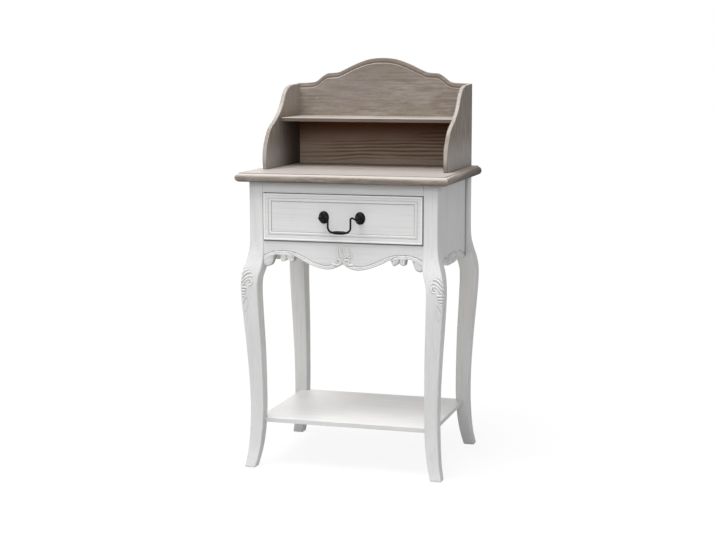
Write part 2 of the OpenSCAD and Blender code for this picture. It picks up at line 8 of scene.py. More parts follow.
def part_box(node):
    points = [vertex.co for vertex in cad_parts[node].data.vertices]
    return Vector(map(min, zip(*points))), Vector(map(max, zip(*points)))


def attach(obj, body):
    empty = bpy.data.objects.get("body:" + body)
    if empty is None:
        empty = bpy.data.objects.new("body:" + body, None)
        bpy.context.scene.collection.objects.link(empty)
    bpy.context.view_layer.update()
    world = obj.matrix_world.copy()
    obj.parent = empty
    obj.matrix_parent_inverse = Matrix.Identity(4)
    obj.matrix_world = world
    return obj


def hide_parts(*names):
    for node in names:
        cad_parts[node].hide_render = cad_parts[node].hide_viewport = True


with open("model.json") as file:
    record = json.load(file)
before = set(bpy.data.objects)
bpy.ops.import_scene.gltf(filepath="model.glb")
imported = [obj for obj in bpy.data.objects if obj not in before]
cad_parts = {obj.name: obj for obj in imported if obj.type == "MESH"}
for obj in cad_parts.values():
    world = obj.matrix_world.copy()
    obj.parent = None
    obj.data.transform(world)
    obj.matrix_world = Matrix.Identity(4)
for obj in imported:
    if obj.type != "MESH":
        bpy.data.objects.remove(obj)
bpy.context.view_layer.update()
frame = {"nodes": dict(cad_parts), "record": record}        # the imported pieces, each in its place, in metres


# ---------------------------------------------------------------- legs
# Four cabriole legs, each sawn and carved from one block with its corner post, with crisp
# arrises, under two brushed coats of chalky white paint. The front knees carry a carved
# acanthus that springs from a row of husks on the outer arris.

class Wire:
    """A value or a colour on its way through a material, with plain arithmetic."""

    def __init__(self, tree, socket=None):
        self.tree, self.socket = tree, socket

    def node(self, kind, settings=None, inputs=None, output=0):
        """Adds one node: its settings first, then the values or wires of its sockets."""
        made = self.tree.nodes.new("ShaderNode" + kind)
        for name, value in (settings or {}).items():
            if name == "stops":
                stops = made.color_ramp.elements
                while len(stops) < len(value):
                    stops.new(1)
                for stop, (place, colour) in zip(stops, value):
                    stop.position, stop.color = place, (*colour, 1)
            else:
                setattr(made, name, value)
        for name, value in (inputs or {}).items():
            if isinstance(value, Wire):
                self.tree.links.new(value.socket, made.inputs[name])
            else:
                made.inputs[name].default_value = value
        return Wire(self.tree, made.outputs[output]) if made.outputs else None

    def maths(self, operation, *values, clamp=False):
        return self.node("Math", {"operation": operation, "use_clamp": clamp},
                         dict(enumerate(values)))

    def __add__(self, other):
        return self.maths("ADD", self, other)

    def __sub__(self, other):
        return self.maths("SUBTRACT", self, other)

    def __rsub__(self, other):
        return self.maths("SUBTRACT", other, self)

    def __mul__(self, other):
        return self.maths("MULTIPLY", self, other)

    __radd__, __rmul__ = __add__, __mul__

    def between(self, low, high):
        """0 below low, 1 above high, and smooth from one to the other."""
        return self.node("MapRange", {"interpolation_type": "SMOOTHSTEP"},
                         {"Value": self, "From Min": low, "From Max": high})

    def mix(self, share, first, second):
        """first where share is 0, and second where it is 1."""
        return self.node("Mix", {"data_type": "RGBA"}, {0: share, 6: first, 7: second}, 2)

    def noise(self, place, scale, detail=3.0, rough=0.5):
        return self.node("TexNoise", None, {"Vector": place, "Scale": scale,
                                            "Detail": detail, "Roughness": rough})

    def stretched(self, x, y, z):
        """The place on the piece, with each axis multiplied."""
        place = self.node("TexCoord", output=3)
        return self.node("Mapping", None, {"Vector": place, "Scale": (x, y, z)})

    def along(self, axis, long, across):
        """The place on the piece, with one axis multiplied less than the two others."""
        return self.stretched(*(long if i == axis else across for i in range(3)))

    def where(self, axis):
        """How far along one axis of the piece, in metres."""
        return self.node("SeparateXYZ", None, {0: self.stretched(1, 1, 1)}, axis)

    def mark(self, name):
        """What the mesh says about itself in one of its attributes."""
        return self.node("Attribute", {"attribute_name": name}, output=2)


def new_material(name, look):
    """look(wire) gives the shader's inputs by name, and the height and depth of its bump."""
    made = bpy.data.materials.new(name)
    made.use_nodes = True
    tree = made.node_tree
    tree.nodes.clear()
    wire = Wire(tree)
    inputs, height, depth = look(wire)
    inputs["Normal"] = wire.node("Bump", None, {"Height": height, "Distance": depth})
    shader = wire.node("BsdfPrincipled", None, inputs)
    wire.node("OutputMaterial", None, {"Surface": shader})
    return made


def rgb(red, green, blue):
    """A colour as it is seen on a screen, 0 to 255, in the linear numbers of a shader."""
    return tuple(((c / 255 + 0.055) / 1.055) ** 2.4 if c > 10 else c / 3295
                 for c in (red, green, blue)) + (1,)


def painted(axis):
    """Brushed along one axis. It is dusty grey with painted shade where the mesh marks hollows, darker with
    painted shadow in the gaps and joints, where the marks pass 1, and rubbed pale with a painted highlight on
    the crests. Painted shade also greys it just under the top."""
    def look(wire):
        cloud = wire.noise(wire.stretched(1, 1, 1), 9, 4)
        brush = wire.noise(wire.along(axis, 14, 420), 1, 4, 0.6)
        wide = wire.noise(wire.along(axis, 5, 260), 1, 3)
        hollow = wire.mark("hollow")
        tone = wire.mix(cloud.between(0.35, 0.7), rgb(225, 225, 224), rgb(219, 219, 218))
        tone = wire.mix(wide.between(0.48, 0.7) * 0.45, tone, rgb(206, 206, 205))
        # painted shade under the top board's overhang
        tone = wire.mix(wire.where(2).between(0.587, 0.601) * 0.58, tone, rgb(160, 158, 154))
        # dusty grey with painted shade in hollows, darker painted shadow in gaps and joints above 1, rubbed
        # pale with a painted highlight on crests below 0
        tone = wire.mix(hollow.between(0.05, 0.8) * 0.8, tone, rgb(142, 139, 135))
        tone = wire.mix(hollow.between(1, 2) * 0.8, tone, rgb(66, 64, 62))
        tone = wire.mix((0 - hollow).between(0.1, 0.8) * 0.7, tone, rgb(241, 241, 240))
        return ({"Base Color": tone, "Roughness": 0.44 + 0.14 * brush, "Specular IOR Level": 0.12},
                brush * 0.6 + cloud * 0.3, 0.00025)
    return look


paint_up = new_material("white_paint", painted(2))

# The case in millimetres: its middle, front and back in Y, its side in X, and in Z the
# underside of the top board and the lower edge of the drawer's opening.
case_y = sum(corner.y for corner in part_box("lower_shelf")) * 500
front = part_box("front_top_rail")[0].y * 1000
back = 2 * case_y - front
side_x = 200.0
under_top = 603.0
opening_low = 482.5


def curve(points, steps):
    """A smooth line through a few points, in steps parts from each point to the next."""
    line = []
    for i in range(len(points) - 1):
        a, b, c, d = (points[min(max(i + k, 0), len(points) - 1)] for k in (-1, 0, 1, 2))
        for k in range(steps):
            t = k / steps
            line.append(tuple((2 * q + (r - p) * t + (2 * p - 5 * q + 4 * r - s) * t * t
                               + (3 * q - p - 3 * r + s) * t ** 3) / 2
                              for p, q, r, s in zip(a, b, c, d)))
    return line + [tuple(points[-1])]


def along(table, place):
    """What a table of rows says at a place between two of them; the place comes first."""
    for low, high in zip(table, table[1:]):
        if place <= high[0]:
            share = max(0, (place - low[0]) / (high[0] - low[0]))
            return [a + (b - a) * share for a, b in zip(low[1:], high[1:])]
    return list(table[-1][1:])


class Carving:
    """Strokes of a gouge on a flat pattern in millimetres. A stroke is its line, its half
    width at the start, middle and end, and its height: raised ones meet in sharp valleys,
    and those with a height below 0 are cut into the rest."""

    def __init__(self, strokes):
        self.strokes = []
        for points, widths, height in strokes:
            line = curve(points, 6)
            reach = max(widths)
            box = [f(p[k] for p in line) + s * reach for k in (0, 1) for f, s in ((min, -1), (max, 1))]
            self.strokes.append((line, widths, height, box))

    def height(self, x, y):
        top, cut = 0.0, 0.0
        for line, (start, middle, end), height, (x0, x1, y0, y1) in self.strokes:
            if not (x0 < x < x1 and y0 < y < y1):
                continue
            best, share = 1e9, 0
            for i in range(len(line) - 1):
                (ax, ay), (bx, by) = line[i], line[i + 1]
                dx, dy = bx - ax, by - ay
                t = ((x - ax) * dx + (y - ay) * dy) / (dx * dx + dy * dy + 1e-9)
                t = min(max(t, 0), 1)
                away = (ax + t * dx - x) ** 2 + (ay + t * dy - y) ** 2
                if away < best:
                    best, share = away, (i + t) / (len(line) - 1)
            wide = (start + (middle - start) * min(1, share * 2) if share < 0.5
                    else middle + (end - middle) * (share * 2 - 1))
            if best < wide * wide:
                rise = math.sqrt(1 - best / (wide * wide))
                if height > 0:
                    top = max(top, rise * height)
                else:
                    cut = max(cut, -rise * height)
        return top - cut


def sheet(columns, rows, place, marks=None, name="worn"):
    """A grid of that many columns and rows of faces, with each vertex put in its place. The
    marks of the rows are written on their vertices under a name."""
    bm = bmesh.new()
    bmesh.ops.create_grid(bm, x_segments=columns, y_segments=rows, size=0.5)
    layer = bm.verts.layers.float.new(name) if marks else None
    for vert in bm.verts:
        i, j = round((vert.co.x + 0.5) * columns), round((vert.co.y + 0.5) * rows)
        vert.co = place(i, j)
        if marks:
            vert[layer] = marks[j]
    return bm


def piece(bm, name, nodes, body, material, sharp=35):
    """The mesh, made in millimetres, as a finished piece that stands for the nodes."""
    bmesh.ops.scale(bm, vec=(0.001, 0.001, 0.001), verts=bm.verts)
    bmesh.ops.recalc_face_normals(bm, faces=bm.faces)
    mesh = bpy.data.meshes.new(name)
    bm.to_mesh(mesh)
    bm.free()
    mesh.shade_smooth()
    mesh.set_sharp_from_angle(angle=math.radians(sharp))
    mesh.materials.append(material)
    made = bpy.data.objects.new(name, mesh)
    bpy.context.scene.collection.objects.link(made)
    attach(made, body)
    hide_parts(*nodes)
    return made


def mark_hollows(bm, gain, low=0, high=1000):
    """Writes on the vertices between two heights how steeply the surface rises round them: above 0 where it
    dips, and below 0 on a crest. The paint turns dusty grey with painted shade above 0, and rubbed pale with a
    painted highlight below 0."""
    bm.normal_update()
    layer = bm.verts.layers.float.new("hollow")
    for vert in bm.verts:
        if low < vert.co.z < high and not vert.is_boundary:
            rise = sum((edge.other_vert(vert).co - vert.co).normalized().dot(vert.normal)
                       for edge in vert.link_edges)
            vert[layer] = max(-1, min(1, rise * gain))


post = 30
# height, how far the leg stands out of and reaches in from the post's corner, arris radius
leg_rows = curve(((0, 13, 10.5, 2), (29, 7.5, 17.5, 2.2), (67.5, 4, 23.2, 2.2),
                  (120.6, 2.1, 26.3, 2.2), (183.4, 3.3, 26.2, 2.2), (250.9, 7, 25, 2.2),
                  (318.5, 12, 22.4, 2.6), (371.5, 15.2, 20.8, 3.1), (400.5, 14.9, 21.8, 3.1),
                  (424.6, 10.9, 27.9, 2.9), (448.7, 4.3, post, 2.4), (opening_low, 0, post, 2),
                  (under_top, 0, post, 2)), 6)

knee_low, knee_high = 334, 434
# On one side of the outer arris: distance from it, and height above the floor. First the
# leaves from the lowest up, then the husks and the tail, then the cuts.
acanthus = Carving((
    (((3, 388.6), (5.6, 392), (8.7, 397), (12.7, 400.6), (17, 402.2), (21.6, 401), (24.4, 396),
      (22.6, 391.2), (19, 389.8)), (1.5, 2.6, 1.8), 1.3),
    (((1.6, 396), (5.6, 400.8), (9.6, 404.8), (15, 408.2), (20.4, 408.8), (23, 406.6)),
     (1.3, 2.5, 1.5), 1.35),
    (((0.6, 403.6), (3.2, 408), (6.4, 412.2), (12, 415.8), (17.4, 416)), (1.3, 2.3, 1.3), 1.2),
    (((0.4, 411.4), (3, 416.6), (7, 420.2), (11.4, 421)), (1.3, 2, 1.1), 0.9),
    (((0, 412), (0, 421), (0, 431)), (2, 2.2, 0.8), 0.8),
    (((0, 384.4), (6, 384.5), (12, 383.8)), (3, 2.9, 2), 1.2),
    (((0, 378.2), (5, 378.3), (9.8, 378)), (3, 2.9, 1.8), 1.1),
    (((0, 372), (4, 372.1), (8.2, 371.9)), (3, 2.8, 1.6), 1),
    (((0, 366.4), (3, 366.4), (6.6, 366.2)), (2.6, 2.6, 1.4), 0.8),
    (((0, 361), (0, 350), (0, 338)), (3.4, 3, 1), 0.8),
    (((15.5, 362), (13, 349), (7, 335)), (1.4, 2, 1.2), 0.5),
    (((0, 388.2), (5, 388), (10, 387.3)), (1.1, 1.2, 0.7), -0.9),
    (((0, 381.3), (6, 381.3), (11.5, 380.8)), (1, 1.1, 0.7), -0.8),
    (((0, 375.1), (5, 375.1), (9.4, 374.8)), (1, 1.1, 0.7), -0.8),
    (((0, 369.2), (3.6, 369.2), (7.4, 369)), (1, 1.1, 0.6), -0.7),
    (((0, 386), (0, 375), (0, 364)), (0.9, 0.9, 0.8), -0.9),
    (((2, 392.6), (7.2, 397.6), (11.2, 401.8), (16, 405.2), (21.5, 405.4)), (0.8, 1, 0.7), -0.6),
    (((1.4, 400.4), (5.6, 405.4), (9.6, 409.4), (16, 412.4), (20, 412.6)), (0.8, 1, 0.7), -0.6),
    (((0.8, 408), (4, 413.6), (8, 417.4)), (0.8, 0.9, 0.6), -0.5),
    (((12.8, 362.6), (8.6, 357.8), (4.2, 350.4)), (1.2, 1.6, 1), -0.8),
    (((18.4, 392.6), (20, 392.4)), (2, 2.2, 1.8), -0.9)))

# shares of a face's width, counted from the outer arris: to 1 on the face that shows, and
# on to 2 round the inner face
fine_face = [k / 56 for k in range(56)] + [0.985]
plain_face = [0, 0.015, 0.035, 0.06, 0.09, 0.2, 0.4, 0.6, 0.8, 0.91, 0.94, 0.965, 0.985]
inner_face = [1, 1.015, 1.035, 1.06, 1.09, 1.3, 1.5, 1.7, 1.91, 1.94, 1.965, 1.985, 2]


def ring_place(share, out, inward, round_r):
    """Where a share lies on the leg's rounded square, and which way the face looks there."""
    wide = out + inward
    far = abs(share) * wide
    spot, facing = ((far - out, -out), (0, -1)) if far <= wide else ((inward, far - wide - out), (1, 0))
    for turn in (0, 1, 2):
        past = (far - turn * wide) / round_r
        if abs(past) < 1:
            angle = math.radians(225 + 90 * turn + 45 * past)
            facing = (math.cos(angle), math.sin(angle))
            spot = ((round_r - out, inward - round_r)[turn > 0] + round_r * facing[0],
                    (round_r - out, inward - round_r)[turn > 1] + round_r * facing[1])
    return (spot, facing) if share >= 0 else (spot[::-1], facing[::-1])


for node, hand, depth in (("front_left_leg", -1, -1), ("front_right_leg", 1, -1),
                          ("rear_left_leg", -1, 1), ("rear_right_leg", 1, 1)):
    carved = depth < 0
    half = (fine_face if carved else plain_face) + inner_face
    shares = [-s for s in half[:0:-1]] + half
    heights = [0, 0.3, 1] + [4 + 6.6 * k for k in range(50)]
    heights += ([knee_low + 0.7 * k for k in range(146)] if carved else
                [knee_low + 5 * k for k in range(21)])
    heights += [440, 448, 458, 470, opening_low, 520, 560, under_top]
    stations = []
    for z in heights:
        out, inward, round_r = along(leg_rows, z)
        tuck = 0.8 - 0.8 * min(z, 1)
        stations.append((out - tuck, min(inward, post) - tuck, round_r))
    relief = {}

    def leg_place(i, j):
        share, z = shares[i], heights[j]
        (a, b), (across, off) = ring_place(share, *stations[j])
        if carved and abs(share) < 1 and knee_low < z < knee_high:
            key = (abs(share), j)
            if key not in relief:
                relief[key] = acanthus.height(abs(share) * sum(stations[j][:2]), z)
            a, b = a + across * relief[key], b + off * relief[key]
        return (hand * (side_x - a), (front + b) if depth < 0 else (back - b), z)

    bm = sheet(len(shares) - 1, len(heights) - 1, leg_place)
    bmesh.ops.remove_doubles(bm, verts=bm.verts, dist=0.0005)
    bmesh.ops.holes_fill(bm, edges=[edge for edge in bm.edges if edge.is_boundary], sides=0)
    bmesh.ops.recalc_face_normals(bm, faces=bm.faces)
    # the carving's hollows turn dusty grey with painted shade, and its crests rubbed pale with a painted
    # highlight
    if carved:
        mark_hollows(bm, 1.1, knee_low - 1, knee_high + 1)
    piece(bm, node + "_carved", [node], "case", paint_up, 50)


# ---------------------------------------------------------------- front apron
# A scalloped rail under the drawer, carved from one board and tenoned into the two posts. A
# rounded band under a fine groove follows the edge, and leaves hang from it at both ends.

paint_across = new_material("white_paint_across", painted(0))

apron_half = 170
# distance from the middle, and height above the floor
apron_edge = curve(((0, 438), (3, 436.5), (8, 433), (14, 430), (21, 427.6), (30, 426.2), (39, 426.6),
                    (47, 428), (57, 430.6), (67, 434), (76, 437.6), (84, 441.2), (92, 446), (98, 448.6),
                    (101.8, 449.4), (103.4, 446.4), (104.6, 441.6), (107, 438.8), (110.4, 437.8),
                    (114.4, 440.6), (118.6, 444.6), (120.4, 443.4), (124, 440.4), (128.4, 438.8),
                    (131.6, 440), (133.2, 444.6), (134.2, 450), (136.4, 452), (142, 452.4), (146.4, 450.8),
                    (148.6, 445), (150.8, 437.4), (153.6, 432), (158.6, 428.4), (163, 427.6), (167, 428.4),
                    (170, 430)), 5)
apron_groove = curve(((0, 440), (8, 440), (13, 438.8), (20, 436.8), (34, 433.8), (48, 435.8), (63, 440.4),
                      (81, 449.2), (100, 457.4), (112, 460.6), (126, 461.4), (141, 460.8), (153, 458.4),
                      (161, 455.2), (170, 450.6)), 5)
apron_carving = Carving((
    (((118.4, 454.6), (112.6, 450), (108.4, 442)), (2.2, 3.2, 2.4), 2),
    (((119.4, 451), (115.6, 446.4), (112, 440.6)), (1.6, 2.4, 1.8), 1.7),
    (((123.6, 457), (124.6, 450), (126.4, 442)), (2.4, 3.2, 2.4), 2),
    (((129.6, 453.6), (130.2, 448), (129.8, 441.6)), (1.6, 2.6, 2), 1.8),
    (((149, 455), (157.4, 446.6), (162, 436)), (3.4, 8, 7), 1.6),
    (((156, 453), (164, 447), (172, 438)), (4, 7, 6), 1.5),
    (((100.6, 449.4), (106, 452.6), (110, 455), (114.6, 457), (118, 457.6)), (1.2, 1.5, 0.9), -1.3),
    (((121.8, 453), (120.4, 449), (119, 445)), (1, 1.5, 1.2), -1.4),
    (((134.6, 454.8), (140.6, 455.2), (147, 453.6)), (0.8, 1, 0.8), -0.6),
    (((151, 447), (152, 443.6)), (1.2, 1.5, 1.2), -0.9)))
# left and right of the middle the carver cut the scrolls and the shell by eye
scrolls = Carving((
    (((21, 437), (15, 436.8), (9, 436.6), (4, 440), (4.6, 445.2), (9.4, 447.6), (14, 445), (13.8, 440.4),
      (9.6, 439.6), (7.8, 442.6)), (2.8, 2.3, 1.6), 2.4),
    (((-20, 437), (-14, 436.4), (-8, 436.4), (-3.6, 440.4), (-4.6, 446), (-9.6, 448), (-13.5, 444.6),
      (-11, 441.4)), (2.8, 2.3, 1.6), 2.3),
    (((2.6, 449), (2.4, 444), (1.2, 439)), (0.9, 0.9, 0.6), -1.6),
    (((-2.2, 453), (-4.6, 461), (-5.4, 470)), (2.6, 2, 1.2), 1.7),
    (((-9.4, 452.8), (-10.6, 461), (-10.4, 470.5)), (2.8, 2.2, 1.2), 1.7),
    (((7.4, 453), (4.4, 461), (2.2, 470)), (2.6, 2, 1.2), 1.7),
    (((14.6, 456), (15.6, 462), (14.4, 470)), (2.4, 2.2, 1.2), 1.5),
    (((18.6, 461), (20, 454.5), (15.4, 451), (11.4, 454), (12.8, 458)), (1.2, 2, 1.6), 1.6),
    (((-18.5, 455), (-19, 461), (-18.4, 466)), (1.4, 1.5, 1), 0.7),
    (((-25.6, 456), (-25.8, 461), (-25.4, 465)), (1.2, 1.3, 0.9), 0.5),
    (((-0.6, 465), (1.2, 457), (2, 451)), (0.8, 2, 2.6), -0.8),
    (((6, 450.6), (9.6, 449.8), (13, 450.6)), (0.8, 1, 0.8), -0.8)))


def band(below):
    """Height of the band over the field, so far below the middle of its groove."""
    if below < -1.2:
        return 0.0
    if below < 1.0:
        return -0.9 * math.cos((below + 0.1) / 1.1 * math.pi / 2)
    bead = 1.5 * math.sqrt(max(0, 1 - ((below - 2.2) / 1.5) ** 2))
    swell = 2.1 * math.sqrt(max(0, 1 - ((below - 6.6) / 3.6) ** 2))
    return max(bead, swell, 0.5 if below < 9.5 else 0.2)


apron_columns, apron_rows, edge_round = 460, 76, 1.8


def apron_place(i, j):
    x = -apron_half + 2 * apron_half * i / apron_columns
    far = abs(x)
    low, = along(apron_edge, far)
    groove, = along(apron_groove, far)
    ahead, = along(apron_groove, far + 0.5)
    flat = 1 / math.sqrt(1 + ((ahead - groove) / 0.5) ** 2) if far < 169 else 0.87
    z = low + (opening_low - low) * (j / apron_rows) ** 0.9
    gap = z - low
    if far < 15:
        rise = 0.0 if z > 437 else 0.6
    else:
        rise = band((groove - min(1, max(0, x / 50 - 1.2)) - z) * flat)
    leaf = apron_carving.height(far, z)
    rise = (max(rise, leaf) if leaf > 0 else rise + leaf) if rise >= 0 else rise
    if far < 30:
        extra = scrolls.height(x, z)
        rise = max(rise, extra) if extra > 0 else rise + extra
    if gap < edge_round:
        rise -= 1.6 * (1 - math.sqrt(max(0, 1 - (1 - gap / edge_round) ** 2)))
    return (x, front + 1.6 - rise, z)


bm = sheet(apron_columns, apron_rows, apron_place)
# the carving's hollows turn dusty grey with painted shade, and its crests rubbed pale with a painted highlight
mark_hollows(bm, 0.75)
# painted shadow in the gap under the drawer, and a line of painted shade along the lower edge
for vert in bm.verts:
    if vert.co.z > opening_low - 2.6:
        vert[bm.verts.layers.float["hollow"]] = min(1.6, vert.co.z - opening_low + 2.6)
    elif vert.co.z < 456 and vert.co.z - along(apron_edge, abs(vert.co.x))[0] < 1.4:
        vert[bm.verts.layers.float["hollow"]] = 0.55
rim = bmesh.ops.extrude_edge_only(bm, edges=[edge for edge in bm.edges if edge.is_boundary])
for vert in (v for v in rim["geom"] if isinstance(v, bmesh.types.BMVert)):
    vert.co.y = front + 18
bmesh.ops.holes_fill(bm, edges=[edge for edge in bm.edges if edge.is_boundary], sides=0)
piece(bm, "front_apron_carved", ["front_apron"], "case", paint_across, 50)


# ---------------------------------------------------------------- side panels
# Two boards tenoned between the posts, 6 mm behind their faces. Their lower edge is scalloped,
# with a carved leaf at the middle and a gouged line towards each leg.

side_edge = curve(((0, 426.5), (13, 426), (30, 426), (43, 428), (53, 431.5), (63, 433.6), (78, 433.8),
                   (93, 431), (108, 426.6), (126, 425)), 4)
side_groove = curve(((30, 443), (40, 442.4), (55, 445), (70, 447.4), (92, 441.8), (110, 436), (126, 431)), 4)
side_carving = Carving((
    (((0, 447.5), (0, 438), (0, 428.5)), (1.5, 3.4, 1.8), 3),
    (((4.5, 447), (11, 441.5), (16, 435), (12.5, 429)), (1.2, 2.8, 2), 2.7),
    (((12, 449), (21, 444.6), (29, 438), (26.5, 431.4), (20, 431.4)), (1.2, 2.8, 1.8), 2.7),
    (((26, 448.6), (37, 444.6), (44, 437), (40, 431)), (1.2, 2.6, 1.8), 2.2),
    (((44, 441), (58, 441.4), (70, 442.6), (84, 439.4), (100, 434), (112, 430)), (2, 3, 2), 1.8),
    (((22, 438), (23, 437)), (2.2, 2.4, 2), -1.4),
    (((8, 430), (9, 429.5)), (2, 2.2, 2), -1.2)))

# The carved foot of a panel has many rows of faces, and the plain board over it has four.
panel_half, panel_columns, foot_rows, plain_rows, foot_top = 126, 280, 52, 4, 462
for node, hand in (("left_side_panel", -1), ("right_side_panel", 1)):
    def panel_place(i, j):
        y = -panel_half + 2 * panel_half * i / panel_columns
        far = abs(y)
        low, = along(side_edge, far)
        z = (low + (foot_top - low) * j / foot_rows if j <= foot_rows else
             foot_top + (under_top - foot_top) * (j - foot_rows) / plain_rows)
        gap, rise = z - low, side_carving.height(far, z)
        groove, = along(side_groove, far)
        if far > 34 and abs(z - groove) < 1.5:
            rise -= 1.5 * math.cos((z - groove) / 1.5 * math.pi / 2) * min(1, (far - 34) / 6)
        if gap < edge_round:
            rise -= 1.4 * (1 - math.sqrt(max(0, 1 - (1 - gap / edge_round) ** 2)))
        return (hand * (side_x - 6 + rise), case_y + y, z)

    bm = sheet(panel_columns, foot_rows + plain_rows, panel_place)
    bmesh.ops.recalc_face_normals(bm, faces=bm.faces)
    # the carving's hollows turn dusty grey with painted shade, and its crests rubbed pale with a painted
    # highlight
    mark_hollows(bm, 0.8 if next(iter(bm.faces)).normal.x * hand > 0 else -0.8, 0, 460)
    # painted shade in the joint to each post
    for vert in bm.verts:
        if abs(vert.co.y - case_y + 2) > 122.4:
            vert[bm.verts.layers.float["hollow"]] = 1.7
    rim = bmesh.ops.extrude_edge_only(bm, edges=[edge for edge in bm.edges if edge.is_boundary])
    for vert in (v for v in rim["geom"] if isinstance(v, bmesh.types.BMVert)):
        vert.co.x = hand * (side_x - 20)
    bmesh.ops.holes_fill(bm, edges=[edge for edge in bm.edges if edge.is_boundary], sides=0)
    piece(bm, node + "_carved", [node], "case", paint_up, 50)


# ---------------------------------------------------------------- top rail, back and low shelf
# Plain painted boards: a rail over the drawer and a back, both tenoned into the posts, and a
# shelf notched round the ankles and dowelled to them. Sandpaper has softened their edges.

def rounded(bm, width, wear_and_shading=None):
    """Rounds the sharp edges of a solid in millimetres. The function given marks each face from its place, its
    facing and whether it is new: above 0 for rubbing, painted highlights and sheen, below 0 for painted shade.
    New faces come from the rounding."""
    edges = [e for e in bm.edges if len(e.link_faces) == 2 and e.calc_face_angle(0) > 0.6]
    cut = bmesh.ops.bevel(bm, geom=edges, offset=width, offset_type="OFFSET", segments=3,
                          profile=0.5, affect="EDGES", clamp_overlap=True, material=-1)
    new = set(cut["faces"])
    # a narrow rim round each broad face keeps its shading flat up to the rounding
    flat = [face for face in bm.faces if face not in new and face.calc_area() > 400]
    bmesh.ops.inset_individual(bm, faces=flat, thickness=0.4, depth=0, use_even_offset=True)
    if wear_and_shading:
        layer = bm.loops.layers.float.new("worn")
        bm.normal_update()
        for face in bm.faces:
            for loop in face.loops:
                loop[layer] = wear_and_shading(loop.vert.co, face.normal, face in new)
    return bm


def softened(node, width, wear_and_shading=None):
    """A copy of a solid with its edges rounded."""
    bm = bmesh.new()
    bm.from_mesh(frame["nodes"][node].data)
    bmesh.ops.scale(bm, vec=(1000, 1000, 1000), verts=bm.verts)
    bmesh.ops.remove_doubles(bm, verts=bm.verts, dist=0.02)
    bmesh.ops.dissolve_limit(bm, angle_limit=0.02, verts=bm.verts, edges=bm.edges)
    bmesh.ops.recalc_face_normals(bm, faces=bm.faces)
    return rounded(bm, width, wear_and_shading)


for node, width in (("front_top_rail", 0.7), ("back_panel", 0.8), ("lower_shelf", 1.6)):
    piece(softened(node, width), node + "_sanded", [node], "case", paint_across)


# ---------------------------------------------------------------- top board
# A solid board with a half-round edge at the front and both sides under a small step, mitred at the corners.
# Its grey-brown wash is rubbed pale with a painted highlight on the upper round, darkened with painted shade
# below it and along both sides, and paler on the flat with a painted sheen.

def washed(axis, rings, shade=None):
    """Open grain along one axis, with growth rings that lie one behind the other along the axis named in
    rings. Above 0 the mesh marks pale places, where rubbing, painted highlights and a painted sheen lie, and
    below 0 places darkened with painted shade."""
    def look(wire):
        streak = wire.noise(wire.along(axis, 22, 130), 1, 5, 0.6)
        pore = wire.noise(wire.along(axis, 70, 620), 1, 3, 0.6)
        cloud = wire.noise(wire.along(axis, 7, 15), 1, 4)
        tint = wire.noise(wire.along(axis, 10, 28), 1.3, 3)
        patch = wire.noise(wire.along(axis, 4, 22), 1, 2)
        ring = patch.between(0.36, 0.58) * wire.node(
            "TexWave", {"bands_direction": rings},
            {"Vector": wire.along(axis, 0.25, 1), "Scale": 38, "Distortion": 9,
             "Detail": 3, "Detail Scale": 0.45}, 1)
        worn = wire.mark("worn") + (cloud - 0.5) * 0.9
        tone = wire.mix(streak.between(0.35, 0.65), rgb(133, 122, 113), rgb(164, 155, 148))
        tone = wire.mix(tint.between(0.4, 0.6) * 0.5, tone, rgb(143, 134, 118))
        tone = wire.mix(cloud.between(0.45, 0.65) * 0.35, tone, rgb(140, 129, 128))
        tone = wire.mix(ring.between(0.5, 0.95) * 0.35, tone, rgb(112, 98, 84))
        tone = wire.mix(pore.between(0.55, 0.75) * 0.5, tone, rgb(190, 183, 178))
        if shade:
            tone = shade(wire, tone, ring)
        # pale above 0 with rubbing, painted highlights and painted sheen; below 0 darker with painted shade,
        # darkest along the board's sides
        tone = wire.mix(worn.between(0.35, 0.9) * 0.8, tone, rgb(204, 198, 192))
        tone = wire.mix((0 - worn).between(0.3, 0.9) * 0.78, tone, rgb(98, 86, 77))
        tone = wire.mix((0 - worn).between(1.3, 2) * 0.7, tone, rgb(66, 58, 52))
        return ({"Base Color": tone, "Roughness": 0.6, "Specular IOR Level": 0.05},
                streak * 0.6 + pore * 0.4, 0.0004)
    return look


def top_painted_sheen(wire, tone, ring):
    """A painted sheen: paler on the flat, most of all towards the front."""
    pale = wire.where(2).between(0.618, 0.6215) * (0.16 + 0.35 * (0.01 - wire.where(1)).between(0, 0.09))
    return wire.mix(pale, tone, rgb(198, 190, 189))


wash_x = new_material("grey_wood", washed(0, "Y"))
wash_top = new_material("grey_wood_top", washed(0, "Y", top_painted_sheen))


def tube(rings, marks=None, name="worn"):
    """A sheet rolled up through the rings of places, with its two ends filled."""
    count = len(rings[0])
    bm = sheet(count, len(rings) - 1, lambda i, j: rings[j][i % count], marks, name)
    bmesh.ops.remove_doubles(bm, verts=bm.verts, dist=0.0005)
    bmesh.ops.holes_fill(bm, edges=[edge for edge in bm.edges if edge.is_boundary], sides=0)
    return bm


board_half, board_front, board_thick, back_round = 224.5, front - 20, 19, 12


def board_ring(inset, z):
    """The board's outline with the front and both sides drawn in, and round back corners."""
    wide, near = board_half - inset, board_front + inset
    corner = [(wide - back_round + back_round * math.cos(a), back - back_round + back_round * math.sin(a))
              for a in (math.radians(15 * k) for k in range(7))]
    plan = [(-wide, near), (wide, near)] + corner + [(-x, y) for x, y in corner[::-1]]
    return [(x, y, z) for x, y in plan]


